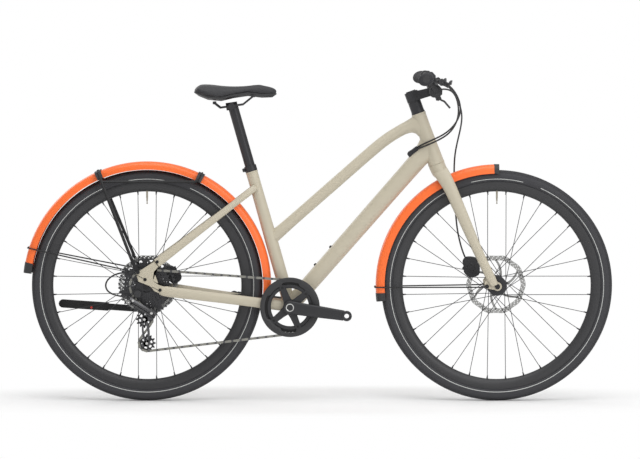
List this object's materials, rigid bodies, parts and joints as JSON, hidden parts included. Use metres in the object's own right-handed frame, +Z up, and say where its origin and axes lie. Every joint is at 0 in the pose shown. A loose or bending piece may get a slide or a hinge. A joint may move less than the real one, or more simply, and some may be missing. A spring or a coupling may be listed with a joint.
{
  "type": "step-through bicycle",
  "caption": "Step-through city bicycle with low bent top tube, mudguards, pannier carrier, disc brakes, derailleur gears, padded saddle and kickstand; wheels, cranks and steering turn.",
  "frame": {"origin": "on the ground, in the middle of the length and of the width", "axes": "+X forward, +Y to the rider's left, +Z up"},
  "size_m": [1.7765, 0.6454, 0.9962],
  "materials": {
    "frame paint": "satin sand paint",
    "mudguard": "orange plastic, satin gloss",
    "black plastic": "matt black",
    "black alloy": "black anodised",
    "rubber": "matt dark grey",
    "tyre": "dark grey rubber",
    "steel": "bare steel",
    "dark steel": "dark coated steel"
  },
  "bodies": {
    "frame": {"head_tube": "frame paint", "top_tube": "frame paint", "down_tube": "frame paint", "seat_tube": "frame paint", "chainstays": "frame paint", "seatstays": "frame paint", "hanger_right": "black alloy", "seat_clamp": "black alloy", "headset_lower": "steel", "headset_upper": "steel", "bottom_bracket": "black alloy", "rear_axle": "black alloy", "rear_fender": "mudguard", "rear_fender_stay": "black alloy", "pannier_carrier": "black alloy", "kickstand_mount": "black alloy", "rear_caliper": "black alloy", "derailleur_mount": "black alloy", "control_hoses": "black plastic", "shift_housing_rear": "black plastic", "chain": "steel"},
    "steering": {"fork": "frame paint", "headset_spacers": "black alloy", "stem": "black alloy", "handlebar": "black alloy", "grip_right": "rubber", "grip_left": "rubber", "brake_body_right": "black alloy", "brake_body_left": "black alloy", "front_fender": "mudguard", "front_fender_stay": "black alloy", "front_caliper": "black alloy", "front_axle": "black alloy", "front_brake_hose": "black plastic"},
    "brake_lever_right": {"brake_blade_right": "black alloy"},
    "brake_lever_left": {"brake_blade_left": "black alloy"},
    "shifter_lever": {"shift_lever": "black plastic"},
    "front_wheel": {"front_tyre": "tyre", "front_rim": "black alloy", "front_hub": "black alloy", "front_rotor": "steel"},
    "rear_wheel": {"rear_tyre": "tyre", "rear_rim": "black alloy", "rear_hub": "black alloy", "rear_rotor": "steel"},
    "cassette": {"cassette": "dark steel"},
    "crankset": {"crank_right": "black alloy", "crank_left": "black alloy", "chainring": "dark steel", "chain_guard": "black plastic"},
    "kickstand": {"kickstand_leg": "black alloy"},
    "outer_link": {"derailleur_outer_link": "black alloy"},
    "inner_link": {"derailleur_inner_link": "black alloy"},
    "lower_knuckle": {"derailleur_knuckle": "black alloy"},
    "cage": {"derailleur_cage": "black alloy"},
    "guide_pulley": {"guide_pulley": "black plastic"},
    "tension_pulley": {"tension_pulley": "black plastic"},
    "seatpost": {"seatpost": "black alloy", "saddle_base": "black plastic", "saddle_cover": "rubber"}
  },
  "joints": [
    {"name": "steer", "type": "hinge", "parent": "frame", "child": "steering", "pos_m": [0.35775, 0, 0.71553], "axis": [-0.3371, 0, 0.9415], "range_deg": [-80, 80], "deforming": ["control_hoses"]},
    {"name": "front_wheel_spin", "type": "hinge", "parent": "steering", "child": "front_wheel", "pos_m": [0.53997, 0, 0.349], "axis": [0, 1, 0], "continuous": true},
    {"name": "rear_wheel_spin", "type": "hinge", "parent": "frame", "child": "rear_wheel", "pos_m": [-0.51603, 0, 0.349], "axis": [0, 1, 0], "continuous": true},
    {"name": "crank_spin", "type": "hinge", "parent": "frame", "child": "crankset", "pos_m": [-0.08453, 0, 0.2865], "axis": [0, 1, 0], "continuous": true, "deforming": ["chain"]},
    {"name": "cassette_spin", "type": "hinge", "parent": "frame", "child": "cassette", "pos_m": [-0.51603, 0, 0.349], "axis": [0, 1, 0], "continuous": true},
    {"name": "brake_lever_right_pull", "type": "hinge", "parent": "steering", "child": "brake_lever_right", "pos_m": [0.38027, -0.203, 0.95689], "axis": [-0.4894, 0, -0.8721], "range_deg": [0, 12], "stiffness_Nm_per_rad": 1.5, "springref_deg": -5.73},
    {"name": "brake_lever_left_pull", "type": "hinge", "parent": "steering", "child": "brake_lever_left", "pos_m": [0.38027, 0.203, 0.95689], "axis": [0.4894, 0, 0.8721], "range_deg": [0, 12], "stiffness_Nm_per_rad": 1.5, "springref_deg": -5.73},
    {"name": "shift_lever_push", "type": "hinge", "parent": "steering", "child": "shifter_lever", "pos_m": [0.35814, -0.133, 0.91785], "axis": [-0.3371, 0, 0.9415], "range_deg": [0, 25], "stiffness_Nm_per_rad": 0.3, "springref_deg": -5.73},
    {"name": "kickstand_fold", "type": "hinge", "parent": "frame", "child": "kickstand", "pos_m": [-0.49603, 0, 0.268], "axis": [0, -1, 0], "range_deg": [0, 70]},
    {"name": "derailleur_outer_pivot", "type": "hinge", "parent": "frame", "child": "outer_link", "pos_m": [-0.56103, -0.088, 0.3085], "axis": [0.3495, 0.6625, 0.6625], "range_deg": [-24, 11], "deforming": ["chain"]},
    {"name": "derailleur_inner_pivot", "type": "hinge", "parent": "frame", "child": "inner_link", "pos_m": [-0.56103, -0.07739, 0.29789], "axis": [0.3495, 0.6625, 0.6625], "range_deg": [-24, 11]},
    {"name": "derailleur_lower_pivot", "type": "hinge", "parent": "outer_link", "child": "lower_knuckle", "pos_m": [-0.49563, -0.082, 0.268], "axis": [0.3495, 0.6625, 0.6625], "range_deg": [-11, 24]},
    {"name": "cage_pivot", "type": "hinge", "parent": "lower_knuckle", "child": "cage", "pos_m": [-0.50503, -0.05, 0.261], "axis": [0, 1, 0], "range_deg": [-28, 5], "stiffness_Nm_per_rad": 0.6, "springref_deg": -34.38, "deforming": ["chain"]},
    {"name": "guide_pulley_spin", "type": "hinge", "parent": "cage", "child": "guide_pulley", "pos_m": [-0.52283, 0, 0.24941], "axis": [0, 1, 0], "continuous": true},
    {"name": "tension_pulley_spin", "type": "hinge", "parent": "cage", "child": "tension_pulley", "pos_m": [-0.51586, 0, 0.17724], "axis": [0, 1, 0], "continuous": true},
    {"name": "seatpost_height", "type": "slide", "parent": "frame", "child": "seatpost", "axis": [-0.274, 0, 0.9617], "range_m": [-0.08, 0.03]}
  ],
  "couplings": [
    {"joint": "cassette_spin", "follows": "crank_spin", "ratio": 1.6},
    {"joint": "guide_pulley_spin", "follows": "crank_spin", "ratio": -3.3333},
    {"joint": "tension_pulley_spin", "follows": "crank_spin", "ratio": 3.3333},
    {"joint": "derailleur_inner_pivot", "follows": "derailleur_outer_pivot", "ratio": 1},
    {"joint": "derailleur_lower_pivot", "follows": "derailleur_outer_pivot", "ratio": -1}
  ]
}
